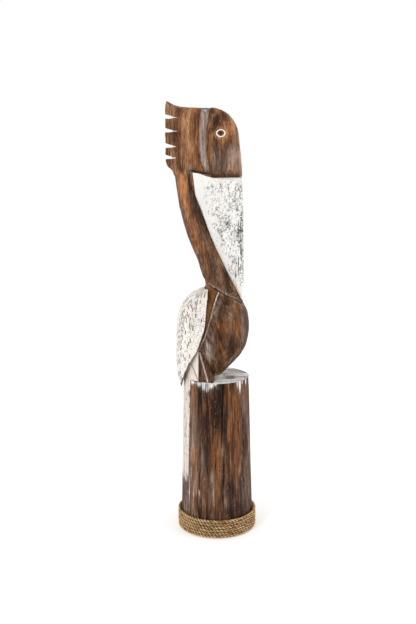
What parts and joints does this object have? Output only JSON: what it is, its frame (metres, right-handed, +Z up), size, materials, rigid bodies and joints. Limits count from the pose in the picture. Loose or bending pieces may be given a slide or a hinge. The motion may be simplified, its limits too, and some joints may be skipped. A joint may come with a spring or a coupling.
{
  "type": "carved pelican figure",
  "caption": "Carved wooden pelican with its bill on its breast, standing on a round log post with a rope-wrapped foot.",
  "frame": {"origin": "centre of the post's flat underside, where the figure rests", "axes": "+X the way the bird looks, +Z up, +Y the bird's left side"},
  "size_m": [0.1271, 0.113, 0.6],
  "materials": {
    "stained_wood": "dark brown stain rubbed back to orange highlights, satin wax",
    "weathered_log": "dark stained debarked log with grey and orange streaks, satin",
    "whitewashed_wood": "chalky white wash over brown wood, dark pits and gouges showing through",
    "bare_dowel": "plain turned hardwood",
    "straw_rope": "two-ply natural grass rope, straw coloured",
    "plain_steel": "plain drawn wire, dull"
  },
  "bodies": {
    "root": {"post": "weathered_log", "tail": "whitewashed_wood", "body": "stained_wood", "wing_right": "whitewashed_wood", "wing_left": "whitewashed_wood", "leg_right": "stained_wood", "leg_left": "stained_wood", "head_and_neck": "stained_wood", "bill": "whitewashed_wood", "rope_wrap": "straw_rope", "body_dowel": "bare_dowel", "neck_dowel_back": "bare_dowel", "neck_dowel_front": "bare_dowel", "bill_dowel_upper": "bare_dowel", "bill_dowel_lower": "bare_dowel", "wing_right_dowel_upper": "bare_dowel", "wing_right_dowel_lower": "bare_dowel", "wing_left_dowel_upper": "bare_dowel", "wing_left_dowel_lower": "bare_dowel", "leg_right_dowel": "bare_dowel", "leg_left_dowel": "bare_dowel", "tail_brad_upper": "plain_steel", "tail_brad_lower": "plain_steel", "rope_tack_start": "plain_steel", "rope_tack_end": "plain_steel"}
  },
  "joints": []
}
